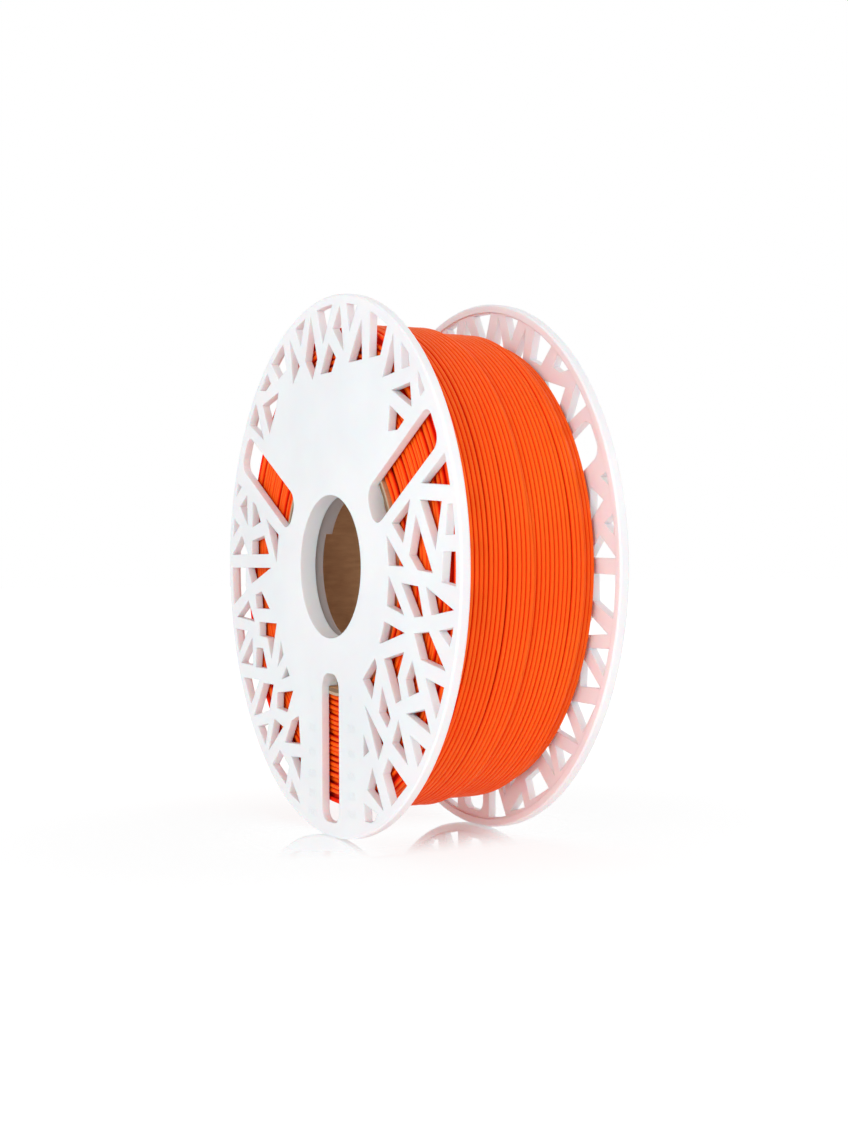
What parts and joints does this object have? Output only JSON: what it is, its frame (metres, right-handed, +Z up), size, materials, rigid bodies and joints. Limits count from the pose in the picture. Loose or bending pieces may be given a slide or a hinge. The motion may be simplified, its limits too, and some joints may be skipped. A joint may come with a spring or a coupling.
{
  "type": "filament spool",
  "caption": "White lattice-sided filament spool: pull-off plastic flanges on a cardboard core, full of orange strand, with a wide spindle bore and long slots.",
  "frame": {"origin": "middle of the spool, on its axis, halfway between the outer faces of the flanges", "axes": "+Y along the spool's axis from the front flange to the rear flange, +Z up, +X to the right as seen from the front"},
  "size_m": [0.2, 0.065, 0.2],
  "materials": {
    "flange_plastic": "satin white moulding, fine texture",
    "cardboard": "spiral-wound brown cardboard",
    "filament": "smooth orange strand with a soft gloss"
  },
  "bodies": {
    "core": {"core_tube": "cardboard", "filament_pack": "filament", "filament_turns": "filament"},
    "front_flange": {"front_flange": "flange_plastic"},
    "rear_flange": {"rear_flange": "flange_plastic"}
  },
  "joints": [
    {"name": "front_flange_pull", "type": "slide", "parent": "core", "child": "front_flange", "axis": [0, -1, 0], "range_m": [0, 0.01]},
    {"name": "rear_flange_pull", "type": "slide", "parent": "core", "child": "rear_flange", "axis": [0, 1, 0], "range_m": [0, 0.01]}
  ]
}
